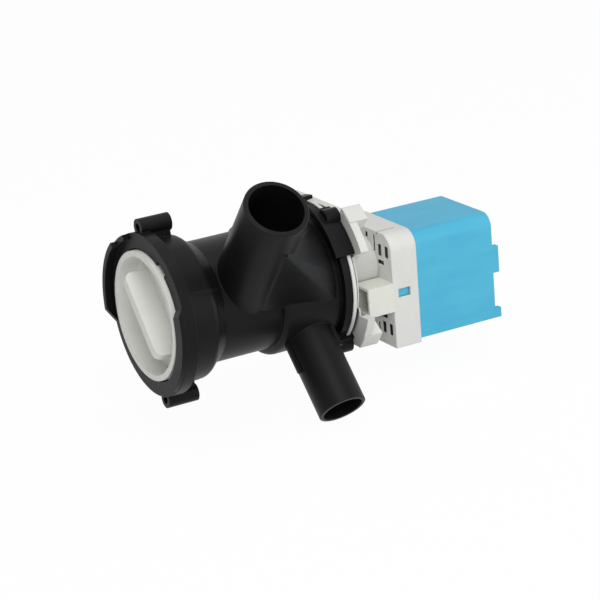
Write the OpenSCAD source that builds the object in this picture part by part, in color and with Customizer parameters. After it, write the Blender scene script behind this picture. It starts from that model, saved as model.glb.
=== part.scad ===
// Washer drain pump: lint filter, volute and synchronous motor in line along X.
// The origin is midway between the two fixing bosses, on their front faces.
// +X runs from the filter mouth to the motor, +Z is the top of the motor cover.
// Angles round the pump axis start at +Z and grow towards -Y.

/* [Filter mouth] */
// Diameter of the filter cap
cap_d = 65; // [63:0.5:66]
// Diameter of the mouth ring
mouth_d = 82; // [81:0.5:85]
// Distance between the two fixing bosses
boss_pcd = 86; // [85:0.5:90]
// Diameter of the hole in each fixing boss
boss_hole_d = 4.5; // [3.5:0.1:5]
// Lean of the line through the bosses
boss_turn = -8; // [-15:1:5]
// Lean of the grip bar on the cap
grip_turn = -40; // [-50:1:-30]
// Turn of the filter between its entry slot and its lock
lock_turn = 60; // [45:1:65]

/* [Filter tube] */
// Outside diameter of the filter tube
tube_d = 61; // [60:0.5:63]
// Wall of the filter tube
tube_wall = 2.5; // [2:0.1:3]

/* [Inlet] */
// Outside diameter of the inlet
inlet_d = 32; // [28:0.5:33]
// Wall of the inlet
inlet_wall = 2.3; // [1.8:0.1:3]
// Distance from the bosses to the inlet
inlet_x = 42; // [41.5:0.5:43]
// Sideways offset of the inlet from the pump axis
inlet_off = 8; // [6:0.5:9]
// Direction of the inlet round the pump axis
inlet_turn = 40; // [30:1:50]
// Length of the inlet from the pump axis
inlet_reach = 82; // [60:1:90]
// Straight end of the inlet that a hose covers
inlet_seat = 17; // [12:0.5:22]

/* [Outlet] */
// Outside diameter of the outlet
outlet_d = 24.5; // [22:0.5:25]
// Wall of the outlet
outlet_wall = 2; // [1.6:0.1:2.6]
// Direction of the outlet round the pump axis
outlet_turn = 136; // [125:1:145]
// Length of the outlet from the pump axis
outlet_reach = 74; // [60:1:85]
// Straight end of the outlet that a hose covers
outlet_seat = 24; // [15:0.5:25]

/* [Volute and impeller] */
// Outside diameter of the volute
volute_d = 68; // [67:0.5:70]
// Wall of the volute
volute_wall = 3; // [2.5:0.1:3.2]
// Length of the volute's chamber
chamber_len = 27.5; // [27:0.5:32]
// Diameter of the impeller
impeller_d = 46; // [40:0.5:50]
// Number of blades
blade_count = 6; // [5:1:7]
// Free turn of the impeller each way on its shaft
lost_turn = 90; // [70:1:95]

/* [Motor] */
// Diameter of the shaft
shaft_d = 5; // [4:0.1:5.4]
// Diameter of the rotor magnet
magnet_d = 24.8; // [22:0.1:25]
// Length of the rotor magnet
magnet_len = 36; // [30:0.5:37]
// Depth of the stator core along the axis
core_len = 26; // [20:0.5:28]
// Width of the motor cover
cover_w = 51.6; // [50.5:0.1:54]
// Height of the cover's top above the pump axis
cover_top = 17.5; // [17.3:0.1:20]
// Depth of the cover's bottom below the pump axis
cover_drop = 38.3; // [38:0.1:42]
// Length of the motor cover
cover_len = 59.4; // [58.4:0.1:67]
// Radius of the cover's two upper edges
cover_round = 7; // [4:0.5:8]

/* [Hidden] */
$fn = 96;

// Clearances, overlaps of joined shapes and overshoot of cuts
run_gap = 0.05;
seat_gap = 0.1;
slip_gap = 0.3;
lap = 0.5;
cut = 1;
far = 200;

// Mouth ring and its raised rim
mouth_r = mouth_d / 2;
cap_r = cap_d / 2;
mouth_bore_r = cap_r + 0.7;
mouth_face = -2;
mouth_back = 4;
lobe_r = mouth_r - 0.2;
far_lobe_r = mouth_r - 3;
far_lobe_front = -6.8;
near_lobe_r = mouth_bore_r + 1;
near_lobe_front = -4.5;
lobe_turn = 250;
lobe_span = 72;
lobe_slope = 33;
lobe_step = 2.3;
lobe_sink = 0.1;
step_span = 16;

// Collar behind the mouth, its shoulder down to the tube, and its mould rib
collar_r = mouth_bore_r + 4.2;
collar_draft = 1;
collar_end = 15.5;
shoulder_round = 5;
shoulder_turn = 60;
shoulder_end = 25;
bore_cone_x = 15;
rib_turn = 63;
rib_w = 1.2;
rib_h = 0.5;
rib_end = 22;

// Fixing bosses
boss_r = 4.5;
boss_len = 16.5;
boss_web_w = 6;
boss_web_sink = 3;

// Bayonet of the filter
lug_turn = 35;
lug_half = 5;
lug_r = cap_r + 2.7;
lug_x0 = 4.4;
lug_x1 = 8.6;
track_gap = 0.4;
track_r = lug_r + track_gap;
track_half = lug_half + 2;

// Filter tube and the partition with the eye of the pump
tube_r = tube_d / 2;
tube_bore_r = tube_r - tube_wall;
bore_cone_end = bore_cone_x + mouth_bore_r - tube_bore_r;
partition_x = 58;
partition_t = 2.5;
eye_r = 11;

// Filter cap, its grip and its plug
cap_front = -4;
cap_back = 11;
recess_r = cap_r - 3;
recess_floor = 6;
floor_t = 3;
grip_front = -7;
grip_half = 23;
grip_t = 5;
grip_round = 4;
plug_r = tube_bore_r - slip_gap;
plug_end = 34;
plug_in_r = plug_r - 2.8;
groove_x0 = 27;
groove_x1 = 30.4;
groove_r = plug_r - 2.1;

// Lint cage: a spigot in the plug, a shoulder on it, bars and an end ring
cage_end = 54;
cage_bars = 10;
cage_r = tube_bore_r - 1;
cage_in_r = plug_in_r - 3;
cage_sink = 4;
cage_ring = 3;
bar_t = 2.6;
bar_r = cage_r - 0.4;
bar_in_r = plug_in_r - 0.5;

// Volute, the groove round it and the flange behind it
volute_r = volute_d / 2;
chamber_r = volute_r - volute_wall;
chamber_x = partition_x + partition_t;
volute_x = 55.5;
volute_edge = 3;
flange_x = chamber_x + chamber_len;
flange_back = flange_x + 4;
flange_r = volute_r + 3.2;
band_x = flange_x - 1.7;
band_r = volute_r - 0.9;

// Inlet and the web from its near side to the volute
inlet_r = inlet_d / 2;
inlet_start = 12;
root_draft = 0.4;
rim_chamfer = 0.4;
web_lean = 2.2;
web_rod_r = 1.8;
web_proud = 0.8;
web_low = 20;
web_top = inlet_reach - inlet_seat - lap;
web_turn = 14;
web_span = 84;
web_sink = 0.9;
web_t = 3;
web_x0 = flange_x - 5;
web_x1 = flange_x - 2;

// Outlet and its two ribs
outlet_r = outlet_d / 2;
outlet_x = (chamber_x + band_x - 0.3) / 2;
outlet_start = chamber_r - 8;
outlet_rib_t = 1.9;
rib_root = volute_r - 6;
front_rib_out = 1.6;
front_rib_end = outlet_reach - outlet_seat - lap;
back_rib_out = 1.3;
back_rib_end = front_rib_end - 5.5;
back_rib_turn = 35;

// Claws and lips of the housing, and the hold ring of the bracket that they grip
hold_t = 1.8;
hold_r = volute_r + 3.8;
claw_r = hold_r + slip_gap;
claw_out_r = claw_r + 1.9;
claw_turns = [20, 133, 200, 313];
claw_span = 43;
claw_x = flange_x - 3;
claw_back = flange_back + 3.5;
claw_knob_r = 4.6;
claw_knob_turn = 10;
hook_span = 15;
hook_r = claw_r - 3;
entry_r = hook_r - slip_gap;
entry_margin = 2;
hold_root = entry_r - 0.4;

// Spigot of the bracket and its seal
spigot_x = flange_x;
spigot_r = chamber_r - 0.2;
seal_x0 = spigot_x + 0.8;
seal_x1 = seal_x0 + 2.4;
seal_groove_r = spigot_r - 1.8;

// Round plate of the bracket: flats above and below, thick ends and a gap for the plug
plate_x = claw_back + 0.4;
disc_t = 4.2;
disc_back = plate_x + disc_t;
disc_r = volute_r + 11.3;
disc_top = disc_r - 9;
disc_low = disc_r - 76.9;
thick_t = 6.4;
thick_in_r = disc_r - 8;
thick_r = disc_r + 0.3;
thick_turns = [32, 123, 225];
thick_span = 12;
gap_turn = 64.5;
gap_span = 43;
gap_low = -14.4;
gap_in_r = 20;
gap_step = 1.5;

// Skirt of the bracket, its front plate and the slit in its top
skirt_x = disc_back + 20.5;
skirt_end = skirt_x + 14.9;
skirt_wall = 1.4;
cover_gap = 0.15;
plate_t = 2;
plate_back = skirt_x + plate_t;
slit_y = -14.7;
slit_w = 0.9;
slit_len = 10.2;

// Vents of the front plate, as [distance from the middle, width, first height, last height];
// heights count from the cover's middle, and each vent is repeated in all four quarters
vents = [
    [4.9, 2, 24.8, 27.4], [12, 1.1, 19, 27.4], [16.9, 2.8, 17.5, 23.4],
    [23.2, 2.8, 17.5, 23.4], [17.4, 5.4, 13.1, 15.1]
];
// Hollow behind the vents, from the cover's middle, and the skin that it leaves
relief_y = [10.9, 23.8];
relief_z = [12.5, 26];
relief_skin = 0.8;

// Rotor well and its rear pocket
magnet_r = magnet_d / 2;
well_r = magnet_r + 0.8;
well_wall = 1.4;
rotor_mid = skirt_x + 25.4;
well_end = rotor_mid + 19;
pocket_r = 8.2;
pocket_end = well_end + 7.5;

// Shaft line, from the front of the impeller's hub to the rear bush
hub_front = chamber_x + 9;
front_bush_x0 = spigot_x + 8;
front_bush_x1 = front_bush_x0 + 7.5;
rear_bush_x0 = well_end + 0.4;
rear_bush_x1 = rear_bush_x0 + 5.6;
shaft_r = shaft_d / 2;
shaft_x0 = hub_front + lap;
shaft_x1 = pocket_end - cut;
hub_r = 6;
hub_x0 = front_bush_x1 + cut;
hub_x1 = well_end - 1;
hub_disc_t = 2;
hub_disc_r = magnet_r - 1.5;
magnet_x0 = rotor_mid - magnet_len / 2;
magnet_x1 = magnet_x0 + magnet_len;
bush_bore_r = shaft_r + run_gap;
bush_r = shaft_r + 2.8;
washer_t = 0.8;
washer_r = shaft_r + 2.4;

// Plate that closes the well behind the impeller
lid_t = 1.5;
lid_r = well_r + 4;
lid_hole_r = shaft_r + 0.6;
lid_web_t = 2;
lid_in_r = well_r - 3;

// Motor cover, its clips and its rear pads
cover_wall = 1.8;
cover_half = cover_w / 2;
cover_end = plate_back + cover_len;
clip_x = plate_back + 4.6;
clip_z = -11.2;
clip_l = 7;
clip_h = 4.5;
clip_rise = 0.6;
clip_window = 3;
pad_t = 3.6;
pad_w = 3;
pad_low = -14;
pad_h = 14;
foot_h = 5;

// Stator core and coil
core_x0 = rotor_mid - core_len / 2;
core_x1 = core_x0 + core_len;
core_half = cover_half - cover_wall - 0.6;
core_top = cover_top - cover_wall - 0.4;
core_bore_r = well_r + well_wall + seat_gap;
coil_low = -cover_drop + cover_wall + slip_gap;
coil_high = -core_bore_r - 4.8;
bobbin_t = 0.8;
bobbin_round = 0.4;
bobbin_flange_t = 1.2;
wind_t = 3.6;
wind_round = 2.5;
wind_gap = 0.3;
yoke_gap = 0.2;
yoke_low = coil_low + bobbin_t + wind_t + yoke_gap;
yoke_high = coil_high - bobbin_t - wind_t - yoke_gap;
window_half = 14.5;
pole_gap = 4;
bobbin_half = window_half - slip_gap;

// Connector, its tabs and the carrier of the tabs
plug_x = skirt_x - 15;
plug_near = -(cover_half + 2.7);
plug_w = 14;
plug_far = plug_near + plug_w;
plug_top = -5;
plug_low = plug_top - 14.9;
plug_reach = entry_r + slip_gap;
plug_floor = plate_x + 0.7;
plug_wall = 1.4;
tab_w = 2.8;
tab_t = 0.8;
tab_y = plug_near + plug_w / 2;
tab_zs = [-9.5, -15.5];
tab_x0 = plug_x + 2.5;
tab_x1 = plate_back + 6.9;
carrier_x0 = plate_back + 1.9;
carrier_near = -cover_half + cover_wall + slip_gap;
carrier_x1 = core_x0 - bobbin_t - wind_t + lap;
carrier_top = plug_top - 2.2;

// Impeller, its hub with the free space for the dog, and its blades
impeller_r = impeller_d / 2;
impeller_hub_r = 11.5;
vane_root_r = impeller_hub_r - 1;
nose_r = vane_root_r - slip_gap;
cavity_r = 9;
cavity_end = hub_front + 8.5;
vane_x = hub_front - 2;
vane_t = 2;
vane_bend = 16;
vane_inset = 0.6;
back_x1 = flange_x - 2;
back_x0 = back_x1 - 2;
stop_r = 5.6;
stop_margin = 3;
dog_r = 8.6;
dog_w = 4;
dog_x0 = shaft_x0 + 0.2;
dog_x1 = cavity_end - slip_gap;
dog_turn = asin(dog_w / 2 / stop_r);
stop_turn = lost_turn + dog_turn + stop_margin;
lid_nose = 4;
lid_slope = 2.5;
lid_flat = 5;

// Turns a shape that points up to an angle round the pump axis
module polar(turn) {
    rotate([turn, 0, 0])
        children();
}

// Stands a shape that was drawn along Z on the pump axis, from a station on
module along_x(x) {
    translate([x, 0, 0])
        rotate([0, 90, 0])
            children();
}

module disc_x(x0, x1, r) {
    along_x(x0)
        cylinder(h = x1 - x0, r = r);
}

module ring_x(x0, x1, r_in, r_out) {
    difference() {
        disc_x(x0, x1, r_out);
        disc_x(x0 - cut, x1 + cut, r_in);
    }
}

module sector_x(x0, x1, r_in, r_out, turn0, turn1) {
    rotate([0, 90, 0])
        rotate([0, 0, 180 + turn0])
            rotate_extrude(angle = turn1 - turn0)
                translate([r_in, x0])
                    square([r_out - r_in, x1 - x0]);
}

// A profile of [radius, x] points turned round the pump axis
module lathe_x(points) {
    rotate([0, 90, 0])
        rotate_extrude()
            polygon(points);
}

module torus_x(x, r_mid, r_bead) {
    along_x(x)
        rotate_extrude()
            translate([r_mid, 0])
                circle(r = r_bead);
}

// A box given by its two corners
module box(low, high) {
    translate(low)
        cube(high - low);
}

// A rectangle with round corners, by its two corners
module round_rect(low, high, r) {
    translate([low[0] + r, low[1]])
        square([high[0] - low[0] - 2 * r, high[1] - low[1]]);
    translate([low[0], low[1] + r])
        square([high[0] - low[0], high[1] - low[1] - 2 * r]);
    for (u = [low[0] + r, high[0] - r], v = [low[1] + r, high[1] - r])
        translate([u, v])
            circle(r = r);
}

// Points of an arc, in [radius, x]
function arc(mid, r, from, to, steps = 6) = [
    for (i = [0 : steps])
        let (a = from + (to - from) * i / steps)
            mid + r * [cos(a), sin(a)]
];

// A raised stretch of the mouth's rim: a ramp up, a flat, and a step down
module rim_lobe(turn, front, r_in) {
    difference() {
        union() {
            sector_x(front + lobe_step, mouth_face + lap, r_in, lobe_r, turn, turn + lobe_span + step_span);
            sector_x(front, front + lobe_step + lobe_sink, r_in, lobe_r, turn, turn + lobe_span);
        }
        polar(turn)
            translate([mouth_face + slip_gap, 0, 0])
                rotate([0, 0, -lobe_slope])
                    box([-far, -far, 0], [0, far, far]);
    }
}

module fixing_boss(turn) {
    polar(turn) {
        translate([0, 0, boss_pcd / 2])
            disc_x(0, boss_len, boss_r);
        box([cut, -boss_web_w / 2, collar_r - boss_web_sink], [boss_len - cut, boss_web_w / 2, boss_pcd / 2]);
    }
}

// Claw over the rim of the bracket's hold ring, with a knob near its upper end
module bayonet_claw(turn) {
    sector_x(claw_x, claw_back, claw_r, claw_out_r, turn, turn + claw_span);
    sector_x(flange_x, flange_back, flange_r - cut, claw_out_r, turn, turn + claw_span);
    difference() {
        polar(turn + claw_knob_turn)
            translate([0, 0, claw_out_r - cut])
                disc_x(flange_x, claw_back, claw_knob_r);
        disc_x(flange_x - cut, claw_back + cut, claw_out_r - lap);
    }
}

// Lip inside a claw, which reaches over the back of the hold ring
module bayonet_hook(turn) {
    sector_x(flange_back + hold_t + seat_gap, claw_back, hook_r, claw_out_r - lap, turn, turn + hook_span);
}

// Web between the inlet's near side and the back of the volute
module inlet_web() {
    hull() {
        polar(inlet_turn)
            translate([inlet_x + web_lean, web_rod_r - inlet_off - inlet_r - web_proud, web_low])
                cylinder(h = web_top - web_low, r = web_rod_r, $fn = 12);
        sector_x(web_x0, web_x1, volute_r - web_sink - web_t, volute_r - web_sink,
            web_turn, web_turn + web_span, $fn = 30);
    }
}

// Outside of the collar and its shoulder, grown by a margin
module collar_shape(grow) {
    lathe_x(concat(
        [[0, 0], [collar_r + grow, 0]],
        arc([collar_r - collar_draft - shoulder_round, collar_end], shoulder_round + grow, 0, shoulder_turn),
        [[tube_r + grow, shoulder_end], [0, shoulder_end]]
    ));
}

module mould_rib() {
    intersection() {
        collar_shape(rib_h);
        polar(rib_turn)
            box([mouth_back - lap, -rib_w / 2, tube_bore_r], [rib_end, rib_w / 2, far]);
    }
}

module volute_shape() {
    lathe_x(concat(
        [[0, volute_x]],
        arc([volute_r - volute_edge, volute_x + volute_edge], volute_edge, -90, 0),
        [[volute_r, flange_x + lap], [0, flange_x + lap]]
    ));
    disc_x(flange_x, flange_back, flange_r);
    for (turn = claw_turns) {
        bayonet_claw(turn);
        bayonet_hook(turn);
    }
}

// Stiffening ribs along the two sides of the outlet
module outlet_ribs() {
    polar(outlet_turn)
        translate([outlet_x, 0, 0]) {
            box([-outlet_r - front_rib_out, -outlet_rib_t / 2, rib_root],
                [0, outlet_rib_t / 2, front_rib_end]);
            rotate([0, 0, back_rib_turn])
                box([0, -outlet_rib_t / 2, rib_root],
                    [outlet_r + back_rib_out, outlet_rib_t / 2, back_rib_end]);
        }
}

// Outside of a hose stub along Z: a drafted root and a straight end
module stub(reach, seat, r) {
    rotate_extrude()
        polygon([
            [0, 0], [r + root_draft, 0], [r, reach - seat], [r, reach - rim_chamfer],
            [r - rim_chamfer, reach], [0, reach]
        ]);
}

module housing_shape() {
    disc_x(mouth_face, mouth_back, mouth_r);
    rim_lobe(lobe_turn, far_lobe_front, far_lobe_r);
    rim_lobe(lobe_turn - 180, near_lobe_front, near_lobe_r);
    collar_shape(0);
    mould_rib();
    for (turn = [boss_turn, boss_turn + 180])
        fixing_boss(turn);
    disc_x(collar_end, partition_x, tube_r);
    volute_shape();
    inlet_web();
    polar(inlet_turn)
        translate([inlet_x, -inlet_off, 0])
            stub(inlet_reach, inlet_seat, inlet_r);
    polar(outlet_turn)
        translate([outlet_x, 0, 0])
            stub(outlet_reach, outlet_seat, outlet_r);
    outlet_ribs();
}

// Entry slots and turning tracks for the filter's lugs
module lug_tracks() {
    for (turn = [lug_turn, lug_turn + 180]) {
        sector_x(-far, lug_x1 + track_gap, mouth_bore_r - cut, track_r, turn - track_half, turn + track_half);
        sector_x(lug_x0 - track_gap, lug_x1 + track_gap, mouth_bore_r - cut, track_r,
            turn - track_half, turn + lock_turn + track_half);
    }
}

module pump_housing() {
    color([0.09, 0.09, 0.1])
        difference() {
            housing_shape();
            lathe_x([
                [0, -far], [mouth_bore_r, -far], [mouth_bore_r, bore_cone_x],
                [tube_bore_r, bore_cone_end], [tube_bore_r, partition_x], [0, partition_x]
            ]);
            disc_x(partition_x - cut, chamber_x + cut, eye_r);
            disc_x(chamber_x, flange_back + cut, chamber_r);
            ring_x(band_x, flange_x, band_r, flange_r);
            lug_tracks();
            polar(inlet_turn)
                translate([inlet_x, -inlet_off, inlet_start])
                    cylinder(h = inlet_reach, r = inlet_r - inlet_wall);
            polar(outlet_turn)
                translate([outlet_x, 0, outlet_start])
                    cylinder(h = outlet_reach, r = outlet_r - outlet_wall);
            for (turn = [boss_turn, boss_turn + 180])
                polar(turn)
                    translate([0, 0, boss_pcd / 2])
                        disc_x(mouth_face - cut, boss_len + cut, boss_hole_d / 2);
        }
}

module grip_bar() {
    polar(grip_turn)
        rotate([90, 0, 0])
            linear_extrude(height = grip_t, center = true) {
                round_rect([grip_front, -grip_half], [recess_floor, grip_half], grip_round);
                translate([recess_floor - grip_round, -grip_half])
                    square([grip_round + lap, 2 * grip_half]);
            }
}

// Cap, grip, bayonet lugs and plug in one moulding
module filter_insert() {
    color([0.9, 0.92, 0.93]) {
        difference() {
            union() {
                disc_x(cap_front, cap_back, cap_r);
                disc_x(cap_back - lap, plug_end, plug_r);
            }
            disc_x(cap_front - cut, recess_floor, recess_r);
            disc_x(recess_floor + floor_t, plug_end + cut, plug_in_r);
            ring_x(groove_x0, groove_x1, groove_r, plug_r + cut);
        }
        grip_bar();
        for (turn = [lug_turn, lug_turn + 180])
            sector_x(lug_x0, lug_x1, cap_r - cut, lug_r, turn - lug_half, turn + lug_half);
    }
}

// Basket that catches the lint, pushed into the plug up to its shoulder
module filter_cage() {
    color([0.9, 0.92, 0.93]) {
        ring_x(plug_end - cage_sink, plug_end + lap, cage_in_r, plug_in_r - seat_gap);
        ring_x(plug_end, plug_end + cage_ring, cage_in_r, cage_r);
        for (i = [0 : cage_bars - 1])
            polar(i * 360 / cage_bars)
                box([plug_end + cage_ring - cut, -bar_t / 2, bar_in_r], [cage_end - cut, bar_t / 2, bar_r]);
        ring_x(cage_end - cage_ring, cage_end, cage_in_r, cage_r);
    }
}

module filter_seal() {
    color([0.13, 0.13, 0.13])
        torus_x((groove_x0 + groove_x1) / 2, (groove_r + tube_bore_r) / 2,
            (tube_bore_r - groove_r) / 2 - seat_gap);
}

// Outline of the motor cover across the pump axis, grown by a margin, in [y, z]
module cover_outline(grow) {
    round_r = cover_round + grow;
    half = cover_half + grow;
    translate([-half, -cover_drop - grow])
        square([2 * half, cover_drop + cover_top + 2 * grow - round_r]);
    translate([-half + round_r, -cover_drop - grow])
        square([2 * (half - round_r), cover_drop + cover_top + 2 * grow]);
    for (side = [-1, 1])
        translate([side * (half - round_r), cover_top + grow - round_r])
            circle(r = round_r);
}

// An outline drawn in [y, z], pulled along X from one station to another
module pull_x(x0, x1) {
    translate([x0, 0, 0])
        rotate([90, 0, 90])
            linear_extrude(height = x1 - x0)
                children();
}

// Spigot with its seal groove, and the hold ring with an entry for each lip
module bracket_spigot() {
    difference() {
        disc_x(spigot_x, flange_back + lap, spigot_r);
        ring_x(seal_x0, seal_x1, seal_groove_r, chamber_r);
    }
    difference() {
        disc_x(flange_back, flange_back + hold_t, hold_r);
        for (turn = claw_turns)
            sector_x(flange_back - cut, flange_back + hold_t + cut, entry_r, hold_r + cut,
                turn + hook_span + entry_margin, turn + 2 * hook_span + 2 * entry_margin);
    }
    disc_x(flange_back, plate_x + lap, hold_root);
}

// Round plate with two flats, thick lugs beside the flats and a gap for the plug
module bracket_disc() {
    difference() {
        disc_x(plate_x, disc_back, disc_r);
        box([plate_x - cut, -far, disc_top], [disc_back + cut, far, far]);
        box([plate_x - cut, -far, -far], [disc_back + cut, far, disc_low]);
        sector_x(plate_x - cut, disc_back + cut, entry_r, far, gap_turn, gap_turn + gap_span);
        sector_x(plug_floor, disc_back + cut, gap_in_r, far, gap_turn + gap_step, gap_turn + gap_span);
        box([plate_x - cut, -far, gap_low], [disc_back + cut, -plug_reach, 0]);
        box([plug_floor, -plug_reach - cut, plug_low - slip_gap],
            [disc_back + cut, plug_far, plug_top + slip_gap]);
    }
    for (turn = thick_turns)
        sector_x(plate_x + slip_gap, disc_back + thick_t, thick_in_r, thick_r, turn, turn + thick_span);
}

module vent_cuts() {
    for (v = vents, side = [0, 1], under = [0, 1])
        translate([0, 0, (cover_top - cover_drop) / 2])
            mirror([0, side, 0])
                mirror([0, 0, under])
                    box([skirt_x - cut, v[0] - v[1] / 2, v[2]], [plate_back + cut, v[0] + v[1] / 2, v[3]]);
}

// Hollow behind each group of vents, which leaves only a thin skin round them
module vent_relief() {
    for (side = [0, 1], under = [0, 1])
        translate([0, 0, (cover_top - cover_drop) / 2])
            mirror([0, side, 0])
                mirror([0, 0, under])
                    box([skirt_x + relief_skin, relief_y[0], relief_z[0]],
                        [plate_back + cut, relief_y[1], relief_z[1]]);
}

module bracket_well() {
    difference() {
        union() {
            disc_x(spigot_x, well_end + well_wall, well_r + well_wall);
            disc_x(well_end, pocket_end + well_wall, pocket_r + well_wall);
        }
        well_space();
    }
}

module well_space() {
    disc_x(spigot_x - cut, well_end, well_r);
    disc_x(well_end - cut, pocket_end, pocket_r);
}

module tab_slots(grow) {
    for (z = tab_zs)
        box([tab_x0, tab_y - tab_w / 2 - grow, z - tab_t / 2 - grow],
            [tab_x1, tab_y + tab_w / 2 + grow, z + tab_t / 2 + grow]);
}

module motor_bracket() {
    color([0.87, 0.87, 0.85])
        difference() {
            union() {
                bracket_spigot();
                bracket_disc();
                difference() {
                    pull_x(skirt_x, skirt_end)
                        cover_outline(cover_gap + skirt_wall);
                    pull_x(plate_back, skirt_end + cut)
                        cover_outline(cover_gap);
                    vent_relief();
                }
                bracket_well();
            }
            well_space();
            vent_cuts();
            box([skirt_x - cut, slit_y - slit_w / 2, cover_top], [skirt_x + slit_len, slit_y + slit_w / 2, far]);
            for (side = [-1, 1])
                box([clip_x - clip_l / 2, side * cover_half - clip_window, clip_z - clip_h / 2],
                    [clip_x + clip_l / 2, side * cover_half + clip_window, clip_z + clip_h / 2]);
            tab_slots(seat_gap);
        }
}

module housing_seal() {
    color([0.12, 0.12, 0.12])
        torus_x((seal_x0 + seal_x1) / 2, (seal_groove_r + chamber_r) / 2,
            (chamber_r - seal_groove_r) / 2 - seat_gap);
}

// Pad on the rear of the cover, beside one of its sides
module rear_pad(side, low, high) {
    translate([0, side * (cover_half - pad_w / 2), 0])
        box([cover_end - lap, -pad_w / 2, low], [cover_end + pad_t, pad_w / 2, high]);
}

// Bump of the cover that snaps into the skirt's window
module cover_clip(side) {
    translate([clip_x, side * cover_half, clip_z])
        cube([clip_l - 2 * slip_gap, 2 * clip_rise, clip_h - 2 * slip_gap], center = true);
}

module motor_cover() {
    color([0.31, 0.68, 0.82]) {
        difference() {
            pull_x(plate_back, cover_end)
                cover_outline(0);
            pull_x(plate_back - cut, cover_end - cover_wall)
                cover_outline(-cover_wall);
        }
        for (side = [-1, 1]) {
            cover_clip(side);
            rear_pad(side, pad_low, pad_low + pad_h);
            rear_pad(side, -cover_drop, foot_h - cover_drop);
        }
    }
}

module stator_core() {
    color([0.45, 0.46, 0.48])
        pull_x(core_x0, core_x1)
            difference() {
                intersection() {
                    cover_outline(-cover_wall - slip_gap);
                    translate([-core_half, yoke_low])
                        square([2 * core_half, core_top - yoke_low]);
                }
                circle(r = core_bore_r);
                translate([-pole_gap, 0])
                    square([2 * pole_gap, far]);
                translate([-pole_gap, coil_high - cut])
                    square([2 * pole_gap, -coil_high]);
                translate([-window_half, yoke_high])
                    square([2 * window_half, coil_high - yoke_high + seat_gap]);
            }
}

// A closed loop round the yoke between two rectangles in [x, z], pulled along Y
module yoke_loop(y0, y1, inset, reach, round_r) {
    translate([0, y1, 0])
        rotate([90, 0, 0])
            linear_extrude(height = y1 - y0)
                difference() {
                    round_rect([core_x0 - reach - inset, yoke_low - reach - inset],
                        [core_x1 + reach + inset, yoke_high + reach + inset], round_r);
                    translate([core_x0 - inset, yoke_low - inset])
                        square([core_len + 2 * inset, yoke_high - yoke_low + 2 * inset]);
                }
}

module coil_bobbin() {
    color([0.82, 0.8, 0.7])
        difference() {
            union() {
                yoke_loop(-bobbin_half, bobbin_half, seat_gap, bobbin_t, bobbin_round);
                for (y = [-bobbin_half, bobbin_half - bobbin_flange_t])
                    yoke_loop(y, y + bobbin_flange_t, seat_gap, bobbin_t + wind_t, bobbin_flange_t);
                box([carrier_x0, carrier_near, coil_high - bobbin_t - cut],
                    [carrier_x1, -bobbin_half + bobbin_flange_t, carrier_top]);
            }
            tab_slots(run_gap);
        }
}

module coil_winding() {
    color([0.72, 0.4, 0.2])
        yoke_loop(-bobbin_half + bobbin_flange_t + run_gap, bobbin_half - bobbin_flange_t - run_gap,
            seat_gap + bobbin_t + run_gap, wind_t - wind_gap, wind_round);
}

module connector_shell() {
    color([0.88, 0.86, 0.78])
        difference() {
            box([plug_x, plug_near, plug_low], [skirt_x, plug_far, plug_top]);
            box([plug_x - cut, plug_near + plug_wall, plug_low + plug_wall],
                [skirt_x - plate_t, plug_far - plug_wall, plug_top - plug_wall]);
            tab_slots(run_gap);
        }
}

module terminal_tabs() {
    color([0.78, 0.74, 0.6])
        tab_slots(0);
}

module rotor_shaft() {
    color([0.75, 0.76, 0.78])
        disc_x(shaft_x0, shaft_x1, shaft_r);
}

module rotor_magnet() {
    color([0.2, 0.2, 0.22])
        ring_x(magnet_x0, magnet_x1, hub_r + run_gap, magnet_r);
}

module rotor_hub() {
    color([0.15, 0.15, 0.16])
        difference() {
            union() {
                disc_x(hub_x0, hub_x1, hub_r);
                disc_x(magnet_x0 - hub_disc_t, magnet_x0, hub_disc_r);
            }
            disc_x(hub_x0 - cut, hub_x1 + cut, shaft_r + run_gap / 2);
        }
}

module front_bearing() {
    color([0.3, 0.3, 0.31])
        ring_x(front_bush_x0, front_bush_x1, bush_bore_r, bush_r);
}

module front_damper() {
    color([0.14, 0.14, 0.14])
        ring_x(front_bush_x0, front_bush_x1, bush_r + run_gap, well_r - seat_gap);
}

module rear_bearing() {
    color([0.3, 0.3, 0.31])
        ring_x(rear_bush_x0, rear_bush_x1, bush_bore_r, bush_r);
}

module rear_damper() {
    color([0.14, 0.14, 0.14])
        ring_x(rear_bush_x0, pocket_end, bush_r + run_gap, pocket_r - seat_gap);
}

module well_cover() {
    color([0.16, 0.16, 0.17])
        difference() {
            union() {
                disc_x(spigot_x - lid_t, spigot_x, lid_r);
                disc_x(spigot_x - lap, front_bush_x0, well_r - seat_gap);
            }
            disc_x(spigot_x - lid_t - cut, front_bush_x0 + cut, lid_hole_r);
            disc_x(spigot_x + lid_web_t, front_bush_x0 + cut, lid_in_r);
        }
}

module thrust_washers() {
    color([0.85, 0.85, 0.8])
        for (x = [front_bush_x1, rear_bush_x0 - washer_t])
            ring_x(x, x + washer_t, bush_bore_r, washer_r);
}

module drive_dog() {
    color([0.6, 0.6, 0.62])
        difference() {
            union() {
                disc_x(dog_x0, dog_x1, stop_r - slip_gap);
                box([dog_x0, -dog_w / 2, shaft_r + cut], [dog_x1, dog_w / 2, dog_r]);
            }
            disc_x(dog_x0 - cut, dog_x1 + cut, shaft_r + run_gap / 2);
        }
}

// One blade: a thin arc from the hub out to the rim, in the plane across the axis
module vane() {
    intersection() {
        translate([vane_bend, 0])
            difference() {
                circle(r = vane_bend + vane_t / 2);
                circle(r = vane_bend - vane_t / 2);
            }
        difference() {
            circle(r = impeller_r - vane_inset);
            circle(r = vane_root_r);
        }
        translate([-vane_bend, 0])
            square([2 * vane_bend + impeller_r, impeller_r]);
    }
}

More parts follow.
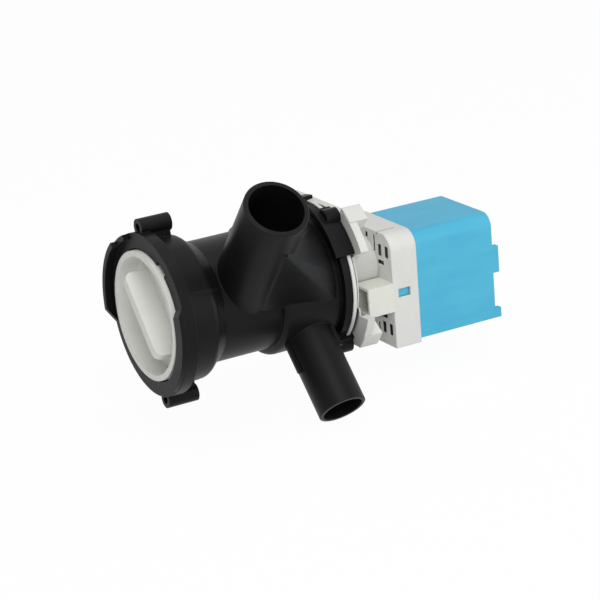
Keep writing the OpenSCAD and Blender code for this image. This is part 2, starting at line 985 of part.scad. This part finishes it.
// Hub with a cavity for the dog, curved blades and a back plate
module impeller() {
    color([0.85, 0.85, 0.84]) {
        difference() {
            union() {
                disc_x(hub_front, back_x1, impeller_hub_r);
                disc_x(back_x0, back_x1, impeller_r);
                along_x(vane_x)
                    for (i = [0 : blade_count - 1])
                        rotate([0, 0, i * 360 / blade_count])
                            linear_extrude(height = back_x0 + lap - vane_x)
                                vane();
            }
            disc_x(hub_front - cut, cavity_end, cavity_r);
            disc_x(cavity_end - cut, back_x1 + cut, shaft_r + run_gap);
        }
        sector_x(hub_front, cavity_end + lap, stop_r, cavity_r + lap, stop_turn, 360 - stop_turn);
    }
}

module impeller_cap() {
    color([0.8, 0.8, 0.79])
        lathe_x([
            [0, hub_front - lid_nose], [nose_r - lid_flat, hub_front - lid_nose],
            [nose_r, hub_front - lid_nose + lid_slope], [nose_r, hub_front], [0, hub_front]
        ]);
}

pump_housing();
filter_insert();
filter_cage();
filter_seal();
motor_bracket();
housing_seal();
motor_cover();
stator_core();
coil_bobbin();
coil_winding();
connector_shell();
terminal_tabs();
rotor_shaft();
rotor_magnet();
rotor_hub();
front_bearing();
front_damper();
rear_bearing();
rear_damper();
well_cover();
thrust_washers();
drive_dog();
impeller();
impeller_cap();
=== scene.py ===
import math
import bpy
import numpy as np
from mathutils import Matrix, Vector


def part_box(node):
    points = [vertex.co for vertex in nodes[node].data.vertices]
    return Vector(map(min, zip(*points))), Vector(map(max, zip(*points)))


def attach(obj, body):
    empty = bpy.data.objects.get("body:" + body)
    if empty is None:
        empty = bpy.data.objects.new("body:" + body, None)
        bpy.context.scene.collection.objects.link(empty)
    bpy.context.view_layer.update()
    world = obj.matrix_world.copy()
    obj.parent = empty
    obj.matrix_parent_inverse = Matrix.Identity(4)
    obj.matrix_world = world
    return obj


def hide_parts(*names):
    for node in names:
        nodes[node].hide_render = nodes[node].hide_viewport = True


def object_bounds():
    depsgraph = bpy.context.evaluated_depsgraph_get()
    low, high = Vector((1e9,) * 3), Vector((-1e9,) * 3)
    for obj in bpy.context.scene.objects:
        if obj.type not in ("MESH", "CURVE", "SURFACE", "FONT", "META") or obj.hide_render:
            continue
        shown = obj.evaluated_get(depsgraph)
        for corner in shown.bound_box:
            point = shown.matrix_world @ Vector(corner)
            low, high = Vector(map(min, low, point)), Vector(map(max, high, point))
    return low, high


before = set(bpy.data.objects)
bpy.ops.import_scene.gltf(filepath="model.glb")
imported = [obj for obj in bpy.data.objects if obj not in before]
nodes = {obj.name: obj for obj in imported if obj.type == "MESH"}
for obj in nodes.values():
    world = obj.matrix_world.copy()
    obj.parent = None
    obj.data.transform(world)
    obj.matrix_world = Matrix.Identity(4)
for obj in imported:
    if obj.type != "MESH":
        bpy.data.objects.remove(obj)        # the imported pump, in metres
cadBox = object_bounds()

scene = bpy.context.scene
scene.view_settings.view_transform = "Standard"
mm = 0.001
fullTurn = 2 * math.pi
print("frame:", len(nodes), "nodes")


# camera, placed by the photograph: right and up are two of its axes
view = {
    "place": (-0.4556, -0.9960, 0.3682),
    "right": (0.8649, -0.4961, -0.0762),
    "up": (0.2215, 0.2410, 0.9449),
    "lens": 142.44, "sensor": 36.0, "clip": (0.05, 40.0),
}


def makeCamera(view):
    right = Vector(view["right"]).normalized()
    up = Vector(view["up"])
    up = (up - right * up.dot(right)).normalized()
    back = right.cross(up)
    lensData = bpy.data.cameras.new("photoCamera")
    lensData.lens = view["lens"]
    lensData.sensor_width = view["sensor"]
    lensData.sensor_height = view["sensor"]
    lensData.sensor_fit = "HORIZONTAL"
    lensData.clip_start, lensData.clip_end = view["clip"]
    camera = bpy.data.objects.new("photoCamera", lensData)
    scene.collection.objects.link(camera)
    turn = Matrix((right, up, back)).transposed()
    camera.matrix_world = Matrix.Translation(view["place"]) @ turn.to_4x4()
    scene.camera = camera


makeCamera(view)
print("camera set")


# a socket that takes part in sums: each sum adds a Math node
class Wire:
    def __init__(self, tree, socket=None):
        self.tree = tree
        self.socket = socket

    # a node by its type, settings first, then values or links of its sockets
    def make(self, kind, settings=None, feeds=None, out=0):
        node = self.tree.nodes.new(kind)
        for key, value in (settings or {}).items():
            if key == "stops":
                ramp = node.color_ramp
                while len(ramp.elements) < len(value):
                    ramp.elements.new(0.5)
                for stop, (place, colour) in zip(ramp.elements, value):
                    stop.position = place
                    stop.color = colour
            else:
                setattr(node, key, value)
        for key, value in (feeds or {}).items():
            if isinstance(value, Wire):
                self.tree.links.new(value.socket, node.inputs[key])
            else:
                node.inputs[key].default_value = value
        return Wire(self.tree, node.outputs[out] if len(node.outputs) else None)

    def sums(self, operation, first, second=0.0, clamp=False):
        return self.make("ShaderNodeMath", {"operation": operation, "use_clamp": clamp},
                         {0: first, 1: second})

    def __add__(self, other):
        return self.sums("ADD", self, other)

    def __sub__(self, other):
        return self.sums("SUBTRACT", self, other)

    def __rsub__(self, other):
        return self.sums("SUBTRACT", other, self)

    def __mul__(self, other):
        return self.sums("MULTIPLY", self, other)

    def __truediv__(self, other):
        return self.sums("DIVIDE", self, other)

    __radd__ = __add__
    __rmul__ = __mul__

    def held(self):        # kept between 0 and 1
        return self.sums("ADD", self, 0.0, True)

    def swing(self):        # noise about its middle
        return self - 0.5

    def above(self, start, gain):        # 0 up to a start, then rising to 1
        return ((self - start) * gain).held()

    def vectors(self, operation, other=(0.0, 0.0, 0.0), out=0):
        return self.make("ShaderNodeVectorMath", {"operation": operation}, {0: self, 1: other}, out)

    def stretched(self, x, y, z):
        return self.vectors("MULTIPLY", (x, y, z))

    def dot(self, other):
        return self.vectors("DOT_PRODUCT", other, 1)

    # 1 inside a box round a middle, 0 outside it
    def inside(self, middle, half):
        away = self.vectors("SUBTRACT", middle).vectors("ABSOLUTE")
        near = [self.sums("LESS_THAN", self.make("ShaderNodeSeparateXYZ", {}, {0: away}, axis), half[axis])
                for axis in range(3)]
        return near[0] * near[1] * near[2]

    def noise(self, scale, detail, roughness):
        return self.make("ShaderNodeTexNoise", {}, {
            "Vector": self, "Scale": scale, "Detail": detail, "Roughness": roughness})

    def mixed(self, first, second):        # self is the share of the second colour
        return self.make("ShaderNodeMix", {"data_type": "RGBA"}, {0: self, 6: first, 7: second}, 2)

    def bump(self, look, **more):        # self is the height
        return self.make("ShaderNodeBump", {}, {
            "Strength": look["bump"], "Distance": look["bumpDepth"], "Height": self, **more})


# a colour as it is seen, 0 to 255, turned linear for the sockets
def seen(red, green, blue):
    parts = np.array([red, green, blue]) / 255.0
    linear = np.where(parts <= 0.04045, parts / 12.92, ((parts + 0.055) / 1.055) ** 2.4)
    return (*[float(v) for v in linear], 1.0)


def blankMaterial(name):
    material = bpy.data.materials.new(name)
    material.use_nodes = True
    material.node_tree.nodes.clear()
    start = Wire(material.node_tree)
    return material, start, start.make("ShaderNodeTexCoord", out="Object")


def wearSurface(start, sockets):
    surface = start.make("ShaderNodeBsdfPrincipled", {}, sockets)
    start.make("ShaderNodeOutputMaterial", {}, {"Surface": surface})


# painted shade: darker where the form closes in on itself, and on the walls inside the boxes that hold its
# slots
def withPaintedShade(start, place, colour, look):
    openness = start.make("ShaderNodeAmbientOcclusion", {"samples": look["grimeSamples"], "only_local": True},
                          {"Distance": look["grimeReach"]}, 1)
    narrow = (1 - openness).above(look["grimeFrom"], look["grimeGain"])
    slots = sum(place.inside(look["slotMiddle"], half) for half in look["slotHalves"])
    return ((narrow + slots).held() * look["grime"]).mixed(colour, look["grimy"])


# moulded plastic: broad clouds and flow streaks in the colour, fine grain in the gloss and the bump, edges
# rounded and lighter, partly rubbed wear and partly a painted highlight
def mouldedPlastic(name, look):
    material, start, place = blankMaterial(name)
    clouds = place.noise(*look["clouds"])
    streaks = place.stretched(*look["flow"]).noise(*look["streaks"])
    grain = place.noise(*look["grain"])
    soft = start.make("ShaderNodeBevel", {"samples": look["edgeSamples"]}, {"Radius": look["edge"]})
    face = start.make("ShaderNodeNewGeometry", out="Normal")
    # edges lighter: partly rubbed wear, partly a painted highlight
    rub = ((1 - soft.dot(face)) * look["rubGain"] * (look["rubLeast"] + clouds)).held()
    patch = (clouds.swing() * look["cloudShare"] + streaks.swing() * look["flowShare"] + 0.5).held()
    colour = patch.mixed(look["dark"], look["light"])
    colour = (rub * look["rub"]).mixed(colour, look["rubbed"])
    # painted shade, for the looks that set it: crevices and vent slots made darker
    if look["grime"] > 0:
        colour = withPaintedShade(start, place, colour, look)
    gloss = (look["rough"] + clouds.swing() * look["roughSwing"] + grain.swing() * look["grainSwing"]
             + rub * look["rubRough"]).held()
    wearSurface(start, {
        "Base Color": colour, "Roughness": gloss, "Specular IOR Level": look["shine"],
        "Normal": (grain + streaks * look["flowBump"]).bump(look, Normal=soft)})
    return material


# clouds, streaks and grain are each scale, detail and roughness of a noise
plasticBase = {
    "clouds": (38.0, 3.0, 0.55), "cloudShare": 0.9,
    "flow": (0.25, 1.0, 1.0), "streaks": (160.0, 2.0, 0.6), "flowShare": 0.5, "flowBump": 0.6,
    "grain": (2600.0, 3.0, 0.65), "bump": 0.25, "bumpDepth": 0.06 * mm,
    # edges made lighter, partly as wear and partly as a painted highlight
    "edge": 0.5 * mm, "edgeSamples": 6, "rub": 0.3, "rubGain": 5.0, "rubLeast": 0.4, "rubRough": 0.05,
    "rough": 0.45, "roughSwing": 0.12, "grainSwing": 0.1, "shine": 0.4,
    # painted shade: off here, set by the looks that want crevices and slots darker
    "grime": 0.0, "grimeFrom": 0.42, "grimeGain": 4.0, "grimeReach": 3.5 * mm, "grimeSamples": 8,
    "grimy": seen(30, 30, 29),
}
plasticLooks = {
    "black_moulding": {
        "dark": seen(13, 13, 14), "light": seen(22, 22, 22), "rubbed": seen(70, 70, 69),
        "rough": 0.4, "shine": 0.11, "rub": 0.4, "bump": 0.35},
    "white_moulding": {
        "dark": seen(222, 223, 217), "light": seen(234, 235, 229), "rubbed": seen(243, 243, 240),
        "rough": 0.38, "shine": 0.28, "edge": 0.8 * mm},
    "bracket_moulding": {
        "dark": seen(207, 207, 203), "light": seen(220, 220, 216), "rubbed": seen(235, 235, 232),
        "rough": 0.5, "shine": 0.28, "edge": 0.7 * mm,
        "flow": (1.0, 0.3, 0.3), "streaks": (240.0, 2.0, 0.6), "flowShare": 0.7,
        # painted shade in the bracket's narrow places and on its vent slot walls, inside these boxes
        "grime": 0.92, "slotMiddle": (121.63 * mm, 0.0, -10.4 * mm),
        "slotHalves": [(0.95 * mm, 25.0 * mm, 23.8 * mm), (0.95 * mm, 18.7 * mm, 27.7 * mm)]},
    "blue_moulding": {
        "dark": seen(70, 168, 204), "light": seen(88, 185, 214), "rubbed": seen(140, 208, 230),
        "rough": 0.46, "shine": 0.18, "flow": (0.2, 1.0, 1.0), "flowShare": 0.8, "edge": 0.6 * mm},
    "cream_moulding": {
        "dark": seen(211, 212, 203), "light": seen(223, 224, 215), "rubbed": seen(237, 237, 231),
        "rough": 0.42, "shine": 0.28},
    "bobbin_moulding": {
        "dark": seen(196, 190, 165), "light": seen(212, 206, 182), "rubbed": seen(226, 222, 204)},
    "inner_moulding": {
        "dark": seen(26, 27, 29), "light": seen(40, 41, 43), "rubbed": seen(84, 84, 86), "shine": 0.3},
    "impeller_moulding": {
        "dark": seen(205, 206, 202), "light": seen(222, 222, 217), "rubbed": seen(236, 236, 233),
        "rough": 0.4},
    "dog_plastic": {
        "dark": seen(132, 134, 138), "light": seen(154, 156, 160), "rubbed": seen(190, 191, 194),
        "rough": 0.38},
    "washer_plastic": {
        "dark": seen(206, 204, 190), "light": seen(222, 220, 206), "rubbed": seen(236, 235, 226),
        "rough": 0.32},
}


# rubber: matt, with a dusty bloom and a fine skin
def sealRubber(name, look):
    material, start, place = blankMaterial(name)
    bloom = place.noise(*look["bloom"])
    skin = place.noise(*look["skin"])
    wearSurface(start, {
        "Base Color": bloom.above(look["bloomFrom"], look["bloomGain"]).mixed(look["dark"], look["dusty"]),
        "Roughness": (look["rough"] + skin.swing() * look["roughSwing"]).held(),
        "Specular IOR Level": look["shine"], "Normal": skin.bump(look)})
    return material


rubberLooks = {
    "seal_rubber": {
        "dark": seen(24, 24, 24), "dusty": seen(46, 45, 44), "bloom": (90.0, 4.0, 0.6), "bloomFrom": 0.35,
        "bloomGain": 1.6, "skin": (2200.0, 2.0, 0.6), "bump": 0.3, "bumpDepth": 0.05 * mm,
        "rough": 0.72, "roughSwing": 0.15, "shine": 0.25},
}


# worked metal: fine marks that run along one way, with a dull film in places
def workedMetal(name, look):
    material, start, place = blankMaterial(name)
    marks = place.stretched(*look["markWay"]).noise(*look["marks"])
    dull = place.noise(*look["film"]).above(look["filmFrom"], look["filmGain"])
    wearSurface(start, {
        "Base Color": (dull * look["filmShare"]).mixed(look["bright"], look["dull"]),
        "Metallic": (1 - dull * look["filmMatt"]).held(),
        "Roughness": (look["rough"] + marks.swing() * look["markRough"] + dull * look["filmRough"]).held(),
        "Normal": marks.bump(look)})
    return material


metalBase = {"filmFrom": 0.42, "filmGain": 2.2, "filmMatt": 0.1, "filmRough": 0.15, "markRough": 0.2,
             "bump": 0.2, "bumpDepth": 0.02 * mm}
metalLooks = {
    "shaft_steel": {
        "bright": seen(205, 206, 208), "dull": seen(170, 168, 164), "rough": 0.2, "filmShare": 0.4,
        "markWay": (20.0, 1.0, 1.0), "marks": (900.0, 3.0, 0.6), "film": (120.0, 4.0, 0.6)},
    "tinned_brass": {
        "bright": seen(214, 208, 190), "dull": seen(186, 168, 120), "rough": 0.3, "filmShare": 0.7,
        "markWay": (1.0, 8.0, 8.0), "marks": (700.0, 3.0, 0.6), "film": (260.0, 4.0, 0.6)},
}


# stacked sheets or wound wire: bands of one pitch along an axis, dark in the joins
def bandedMetal(name, look):
    material, start, place = blankMaterial(name)
    wave = start.sums("PINGPONG", place.dot(look["axis"]) / look["pitch"], 1.0)
    join = wave.above(look["joinFrom"], look["joinGain"])
    stain = place.noise(*look["stains"])
    colour = stain.above(look["stainFrom"], look["stainGain"]).mixed(look["bright"], look["stain"])
    wearSurface(start, {
        "Base Color": (join * look["joinShare"]).mixed(colour, look["join"]),
        "Metallic": (look["metal"] - join * look["joinMatt"]).held(),
        "Roughness": (look["rough"] + stain.swing() * look["roughSwing"]).held(),
        "Normal": (1 - join).bump(look)})
    return material


bandBase = {"stainFrom": 0.4, "stainGain": 1.8, "metal": 0.9, "joinMatt": 0.4, "roughSwing": 0.2, "bump": 0.7}
bandLooks = {
    "lamination_steel": {
        "axis": (1.0, 0.0, 0.0), "pitch": 0.25 * mm, "joinFrom": 0.7, "joinGain": 4.0, "joinShare": 0.7,
        "bright": seen(150, 152, 156), "stain": seen(120, 112, 104), "join": seen(48, 46, 46),
        "stains": (70.0, 4.0, 0.6), "bumpDepth": 0.05 * mm, "rough": 0.45},
    "copper_wire": {
        "axis": (0.0, 1.0, 0.0), "pitch": 0.2 * mm, "joinFrom": 0.55, "joinGain": 3.0, "joinShare": 0.8,
        "bright": seen(196, 112, 66), "stain": seen(168, 84, 44), "join": seen(66, 30, 16),
        "stains": (90.0, 4.0, 0.6), "bumpDepth": 0.08 * mm, "rough": 0.32},
}


# pressed powder: a dark body with bright and dull specks
def pressedPowder(name, look):
    material, start, place = blankMaterial(name)
    specks = place.noise(*look["specks"])
    tone = place.noise(*look["tones"])
    mixture = specks * look["speckShare"] + tone * look["toneShare"]
    wearSurface(start, {
        "Base Color": start.make("ShaderNodeValToRGB", {"stops": look["stops"]}, {"Fac": mixture}),
        "Roughness": (look["rough"] + specks.swing() * look["roughSwing"]).held(),
        "Normal": specks.bump(look)})
    return material


powderBase = {"speckShare": 0.7, "toneShare": 0.3, "roughSwing": 0.3, "bump": 0.3, "bumpDepth": 0.04 * mm}
powderLooks = {
    "ferrite": {
        "specks": (1500.0, 2.0, 0.7), "tones": (60.0, 3.0, 0.5), "rough": 0.5,
        "stops": [(0.3, seen(28, 28, 30)), (0.6, seen(48, 48, 51)), (0.75, seen(78, 78, 82))]},
    "graphite": {
        "specks": (1800.0, 2.0, 0.7), "tones": (80.0, 3.0, 0.5), "rough": 0.42,
        "stops": [(0.3, seen(38, 38, 40)), (0.6, seen(62, 62, 64)), (0.75, seen(98, 98, 100))]},
}

finishes = {}
for makeFinish, base, looks in (
        (mouldedPlastic, plasticBase, plasticLooks), (sealRubber, {}, rubberLooks),
        (workedMetal, metalBase, metalLooks), (bandedMetal, bandBase, bandLooks),
        (pressedPowder, powderBase, powderLooks)):
    for slotName, look in looks.items():
        finishes[slotName] = makeFinish(slotName, {**base, **look})

# which finish each solid wears
wears = {
    "black_moulding": ["pump_housing"],
    "white_moulding": ["filter_insert", "filter_cage"],
    "bracket_moulding": ["motor_bracket"],
    "blue_moulding": ["motor_cover"],
    "cream_moulding": ["connector_shell"],
    "bobbin_moulding": ["coil_bobbin"],
    "inner_moulding": ["rotor_hub", "well_cover"],
    "impeller_moulding": ["impeller", "impeller_cap"],
    "dog_plastic": ["drive_dog"],
    "washer_plastic": ["thrust_washers"],
    "graphite": ["front_bearing", "rear_bearing"],
    "seal_rubber": ["filter_seal", "housing_seal", "front_damper", "rear_damper"],
    "lamination_steel": ["stator_core"],
    "shaft_steel": ["rotor_shaft"],
    "ferrite": ["rotor_magnet"],
    "copper_wire": ["coil_winding"],
    "tinned_brass": ["terminal_tabs"],
}
for slotName, solids in wears.items():
    for solid in solids:
        nodes[solid].data.materials.clear()
        nodes[solid].data.materials.append(finishes[slotName])
print("finishes:", len(finishes))


# a grid of points that closes on itself both ways, such as a ring or a wound loop
def closedGrid(name, points, body, slotName, replaced):
    rows, columns = points.shape[:2]
    index = np.arange(rows * columns).reshape(rows, columns)
    right = np.roll(index, -1, axis=1)
    above = np.roll(index, -1, axis=0)
    corner = np.roll(right, -1, axis=0)
    faces = np.stack([index, above, corner, right], axis=-1).reshape(-1, 4)
    mesh = bpy.data.meshes.new(name)
    mesh.from_pydata(points.reshape(-1, 3), [], faces)
    mesh.polygons.foreach_set("use_smooth", np.ones(len(faces), bool))
    mesh.materials.append(finishes[slotName])
    mesh.update()
    piece = bpy.data.objects.new(name, mesh)
    scene.collection.objects.link(piece)
    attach(piece, body)
    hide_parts(replaced)
    return piece


# angles of a full turn, the last one left out
def angles(count):
    return np.linspace(0, fullTurn, count, endpoint=False)


# a closed section, given along the pump axis and away from it, carried round that axis
def carriedRound(along, reach, turn):
    return np.stack([np.broadcast_to(along, (len(turn), along.shape[1])),
                     reach * np.cos(turn), reach * np.sin(turn)], axis=-1)


# rubber ring: a bead circle carried round the pump axis, with the thin flash
# that its mould leaves on the inner and the outer line
def rubberRing(name, ring):
    low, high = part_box(ring["node"])
    bead = (high.x - low.x) / 2
    middle = (high.z - low.z) / 2 - bead
    turn = angles(ring["around"])[:, None]
    roll = angles(ring["across"])[None, :]
    flash = ring["flash"] * np.exp(-(np.sin(roll) / ring["flashWidth"]) ** 2)
    radius = bead - ring["flash"] + flash
    points = carriedRound((low.x + high.x) / 2 + radius * np.sin(roll), middle + radius * np.cos(roll), turn)
    return closedGrid(name, points, ring["body"], "seal_rubber", ring["node"])


filterRing = {"node": "filter_seal", "body": "filter_ring", "around": 160, "across": 28,
              "flash": 0.04 * mm, "flashWidth": 0.12}
bracketRing = {"node": "housing_seal", "body": "pump", "around": 160, "across": 24,
               "flash": 0.04 * mm, "flashWidth": 0.12}
rubberRing("filterRing", filterRing)
rubberRing("bracketRing", bracketRing)


# damper: a rounded square carried round the pump axis, its bore and its outside
# waved along the axis so that ribs stand between shallow grooves
def damperRing(name, ring):
    low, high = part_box(ring["node"])
    half = (high.x - low.x) / 2
    outer = (high.z - low.z) / 2
    middle = (outer + ring["bore"]) / 2
    thick = (outer - ring["bore"]) / 2
    turn = angles(ring["around"])[:, None]
    roll = angles(ring["across"])[None, :]
    square = np.maximum(np.abs(np.cos(roll)), np.abs(np.sin(roll))) ** ring["corner"]
    along = np.sin(roll) / square
    out = np.cos(roll) / square
    groove = ring["groove"] * (0.5 - 0.5 * np.cos(fullTurn * ring["ribs"] * (along + 1) / 2))
    reach = middle + out * (thick - groove * np.abs(out))
    points = carriedRound((low.x + high.x) / 2 + half * along, reach, turn)
    return closedGrid(name, points, ring["body"], "seal_rubber", ring["node"])


frontDamperRing = {"node": "front_damper", "body": "pump", "bore": 5.35 * mm, "around": 96, "across": 64,
                   "corner": 0.86, "groove": 0.35 * mm, "ribs": 3}
rearDamperRing = {"node": "rear_damper", "body": "pump", "bore": 5.35 * mm, "around": 96, "across": 64,
                  "corner": 0.86, "groove": 0.25 * mm, "ribs": 3}
damperRing("frontDamperRing", frontDamperRing)
damperRing("rearDamperRing", rearDamperRing)
print("rubber rings made")


# coil: a loop with rounded corners round the yoke, and on its outside one ridge
# for each turn of wire, half a circle high
def woundCoil(name, coil):
    low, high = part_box(coil["node"])
    quarter = fullTurn / 4
    corners = np.repeat(np.arange(4), coil["bend"])
    sweep = np.tile(np.linspace(0, quarter, coil["bend"]), 4) + corners * quarter
    sideX = np.where((corners == 0) | (corners == 3), 1, -1)
    sideZ = np.where(corners < 2, 1, -1)

    def loop(inset, radius):
        halfX = (high.x - low.x) / 2 - inset - radius
        halfZ = (high.z - low.z) / 2 - inset - radius
        return np.stack([(low.x + high.x) / 2 + sideX * halfX + radius * np.cos(sweep),
                         (low.z + high.z) / 2 + sideZ * halfZ + radius * np.sin(sweep)], axis=-1)

    outside = loop(0.0, coil["outerBend"])
    inside = loop(coil["depth"], coil["innerBend"])
    width = high.y - low.y
    step = np.linspace(0, coil["turns"], coil["turns"] * coil["steps"] + 1)
    wire = width / coil["turns"] / 2
    ridge = wire * (1 - np.sqrt(np.clip(1 - (2 * (step % 1) - 1) ** 2, 0, 1)))
    across = np.concatenate([high.y - width * step / coil["turns"], [low.y, high.y]])
    share = np.concatenate([1 - ridge / coil["depth"], [0.0, 0.0]])
    flat = inside[:, None, :] + (outside - inside)[:, None, :] * share[None, :, None]
    points = np.stack([flat[..., 0], np.broadcast_to(across, flat.shape[:2]), flat[..., 1]], axis=-1)
    return closedGrid(name, points, coil["body"], "copper_wire", coil["node"])


woundCoilLook = {"node": "coil_winding", "body": "pump", "turns": 36, "steps": 6, "bend": 8,
                 "outerBend": 2.5 * mm, "innerBend": 0.3 * mm, "depth": 3.3 * mm}
woundCoil("woundCoil", woundCoilLook)
print("coil wound")


# 1 for what the camera sees, straight or by way of metal and glass
def watchedRays(start):
    straight = start.make("ShaderNodeLightPath", out="Is Camera Ray")
    glossy = start.make("ShaderNodeLightPath", out="Is Glossy Ray")
    through = start.make("ShaderNodeLightPath", out="Is Transmission Ray")
    return (straight + glossy + through).held()


# stage: a wide pale floor that stays white to the eye and keeps a faint shadow
floorLook = {"half": 9.0, "rows": 13, "below": 0.2 * mm, "pale": seen(250, 250, 250),
             "second": seen(246, 246, 246), "mottle": (3.0, 3.0, 0.5), "glow": 0.965}


def makeFloor(look):
    height = cadBox[0][2] - look["below"]
    side = np.linspace(-look["half"], look["half"], look["rows"])
    across, along = np.meshgrid(side, side)
    points = np.stack([across, along, np.full_like(across, height)], axis=-1).reshape(-1, 3)
    index = np.arange(len(points)).reshape(len(side), len(side))
    faces = np.stack([index[:-1, :-1], index[:-1, 1:], index[1:, 1:], index[1:, :-1]], axis=-1)
    mesh = bpy.data.meshes.new("studioFloor")
    mesh.from_pydata(points, [], faces.reshape(-1, 4))
    material, start, place = blankMaterial("paleFloor")
    tone = place.noise(*look["mottle"]).mixed(look["pale"], look["second"])
    paint = start.make("ShaderNodeBsdfDiffuse", {}, {"Color": tone})
    glow = start.make("ShaderNodeEmission", {}, {"Color": (1, 1, 1, 1), "Strength": 1.0})
    surface = start.make("ShaderNodeMixShader", {}, {0: watchedRays(start) * look["glow"], 1: paint, 2: glow})
    start.make("ShaderNodeOutputMaterial", {}, {"Surface": surface})
    mesh.materials.append(material)
    floor = bpy.data.objects.new("studioFloor", mesh)
    scene.collection.objects.link(floor)


makeFloor(floorLook)

# light: a soft sky and three large lamps at a plain level
skyLook = {"colour": (0.97, 0.985, 1.0, 1.0), "strength": 0.25}
lampLooks = {
    "topLamp": {"place": (0.05, -0.25, 1.5), "aim": (0.08, 0.0, 0.0), "size": 1.3, "power": 8.4},
    "keyLamp": {"place": (-0.45, -1.28, 1.1), "aim": (0.05, 0.0, 0.0), "size": 1.3, "power": 13.7},
    "rightLamp": {"place": (1.5, -0.9, 0.35), "aim": (0.08, 0.0, 0.0), "size": 1.0, "power": 10.1},
}


def makeSky(look):
    world = bpy.data.worlds.new("studioSky")
    scene.world = world
    world.use_nodes = True
    world.node_tree.nodes.clear()
    start = Wire(world.node_tree)
    light = start.make("ShaderNodeBackground", {}, {"Color": look["colour"], "Strength": look["strength"]})
    white = start.make("ShaderNodeBackground", {}, {"Color": (1, 1, 1, 1), "Strength": 1.0})
    mixed = start.make("ShaderNodeMixShader", {}, {0: watchedRays(start), 1: light, 2: white})
    start.make("ShaderNodeOutputWorld", {}, {"Surface": mixed})


def makeLamp(name, look):
    lampData = bpy.data.lights.new(name, "AREA")
    lampData.shape = "DISK"
    lampData.size = look["size"]
    lampData.energy = look["power"]
    lamp = bpy.data.objects.new(name, lampData)
    scene.collection.objects.link(lamp)
    place = Vector(look["place"])
    aim = Vector(look["aim"]) - place
    lamp.matrix_world = Matrix.Translation(place) @ aim.to_track_quat("-Z", "Y").to_matrix().to_4x4()


makeSky(skyLook)
for lampName, look in lampLooks.items():
    makeLamp(lampName, look)
print("stage and light set")
